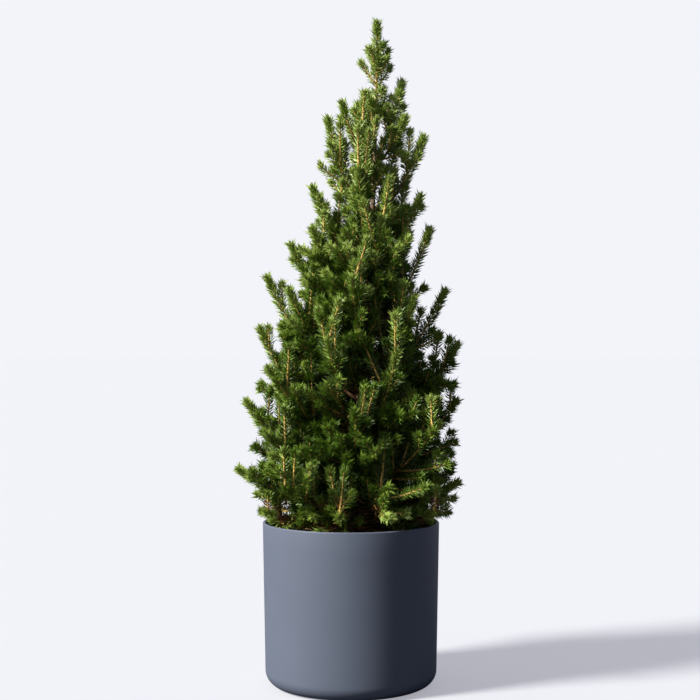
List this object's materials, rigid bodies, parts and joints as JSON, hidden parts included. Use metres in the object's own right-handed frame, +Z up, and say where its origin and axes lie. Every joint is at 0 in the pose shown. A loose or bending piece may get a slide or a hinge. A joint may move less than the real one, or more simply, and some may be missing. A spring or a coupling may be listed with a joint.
{
  "type": "potted dwarf alberta spruce",
  "caption": "Young dwarf Alberta spruce with an upswept, pointed crown, growing from compost in a plain round planter with a flat base.",
  "frame": {"origin": "centre of the planter's flat underside", "axes": "+Z up along the planter's axis, +X to the right of the plant, -Y to its front"},
  "size_m": [0.2341, 0.2109, 0.68],
  "materials": {
    "pot": "matt slate-grey plastic",
    "compost": "dark damp potting compost",
    "bark": "rough brown bark",
    "needles": "fine green needles on tan shoots"
  },
  "bodies": {
    "root": {"compost": "compost", "crown_foliage_1": "needles", "crown_foliage_2": "needles", "crown_foliage_3": "needles", "crown_foliage_4": "needles", "crown_foliage_5": "needles", "hem_foliage_1": "needles", "hem_foliage_2": "needles", "hem_foliage_3": "needles", "hem_foliage_4": "needles", "high_foliage_1": "needles", "high_foliage_2": "needles", "high_foliage_3": "needles", "high_foliage_4": "needles", "high_foliage_5": "needles", "high_foliage_6": "needles", "leader_foliage": "needles", "low_foliage_1": "needles", "low_foliage_2": "needles", "low_foliage_3": "needles", "low_foliage_4": "needles", "low_foliage_5": "needles", "low_foliage_6": "needles", "middle_foliage_1": "needles", "middle_foliage_2": "needles", "middle_foliage_3": "needles", "middle_foliage_4": "needles", "middle_foliage_5": "needles", "middle_foliage_6": "needles", "middle_foliage_7": "needles", "neck_foliage_1": "needles", "neck_foliage_2": "needles", "neck_foliage_3": "needles", "neck_foliage_4": "needles", "neck_foliage_5": "needles", "pot": "pot", "skirt_bough_1": "bark", "skirt_bough_2": "bark", "skirt_bough_3": "bark", "skirt_bough_4": "bark", "skirt_bough_5": "bark", "skirt_bough_6": "bark", "skirt_foliage_1": "needles", "skirt_foliage_2": "needles", "skirt_foliage_3": "needles", "skirt_foliage_4": "needles", "skirt_foliage_5": "needles", "skirt_foliage_6": "needles", "top_foliage_1": "needles", "top_foliage_2": "needles", "top_foliage_3": "needles", "top_foliage_4": "needles", "trunk": "bark", "upper_foliage_1": "needles", "upper_foliage_2": "needles", "upper_foliage_3": "needles", "upper_foliage_4": "needles", "upper_foliage_5": "needles", "upper_foliage_6": "needles", "upper_foliage_7": "needles"}
  },
  "joints": []
}
